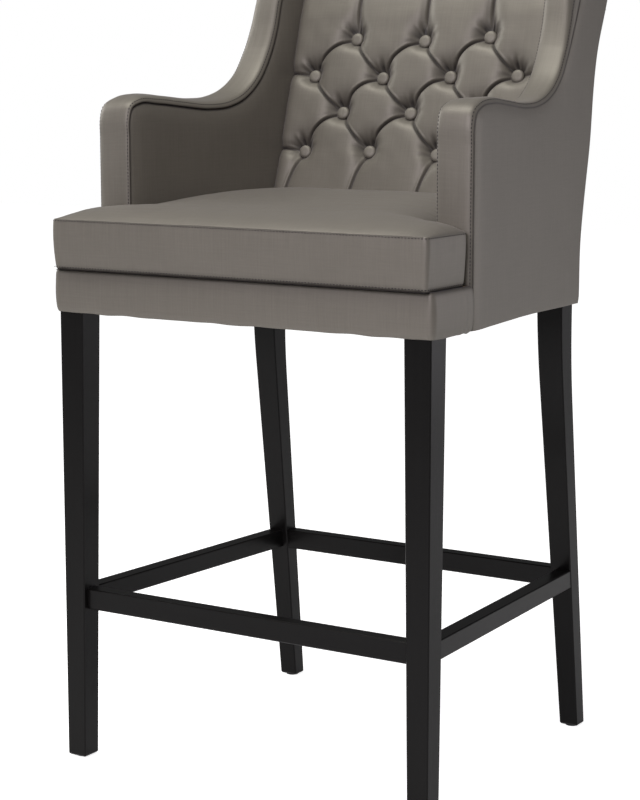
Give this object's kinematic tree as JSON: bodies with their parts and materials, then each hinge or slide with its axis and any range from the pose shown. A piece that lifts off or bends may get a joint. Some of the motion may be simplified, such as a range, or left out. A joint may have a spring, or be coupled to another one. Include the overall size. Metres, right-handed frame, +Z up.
{
  "type": "bar stool",
  "caption": "Upholstered wing chair at bar height on square tapered legs with stretchers, with a buttoned back and a T-shaped seat cushion.",
  "frame": {"origin": "on the floor under the middle of the whole stool", "axes": "+Z up, +Y from the front to the back, +X to the right of someone who faces the stool's front"},
  "size_m": [0.6012, 0.605, 1.1509],
  "materials": {
    "lacquered_wood": "satin black-brown lacquer",
    "frame_wood": "plain",
    "upholstery": "coated cloth with a satin sheen",
    "dust_cloth": "plain",
    "screw_steel": "zinc",
    "glide_plastic": "matte"
  },
  "bodies": {
    "root": {"front_leg_left": "lacquered_wood", "front_leg_right": "lacquered_wood", "back_leg_left": "lacquered_wood", "back_leg_right": "lacquered_wood", "front_stretcher": "lacquered_wood", "back_stretcher": "lacquered_wood", "side_stretcher_left": "lacquered_wood", "side_stretcher_right": "lacquered_wood", "front_seat_rail": "frame_wood", "back_seat_rail": "frame_wood", "side_seat_rail_left": "frame_wood", "side_seat_rail_right": "frame_wood", "corner_blocks": "frame_wood", "corner_block_screws": "screw_steel", "seat_panel": "frame_wood", "arm_frame_left": "frame_wood", "arm_frame_right": "frame_wood", "arm_frame_screws": "screw_steel", "glides": "glide_plastic", "back_board": "frame_wood", "back_lower_rail": "frame_wood", "back_top_rail": "frame_wood", "back_cushion": "upholstery", "back_buttons": "upholstery", "outside_back_cover": "upholstery", "seat_cushion": "upholstery", "front_rail_cover": "upholstery", "dust_cover": "dust_cloth", "arm_inner_pad_left": "upholstery", "arm_inner_pad_right": "upholstery", "arm_outer_cover_left": "upholstery", "arm_outer_cover_right": "upholstery", "arm_band_left": "upholstery", "arm_band_right": "upholstery"}
  },
  "joints": []
}
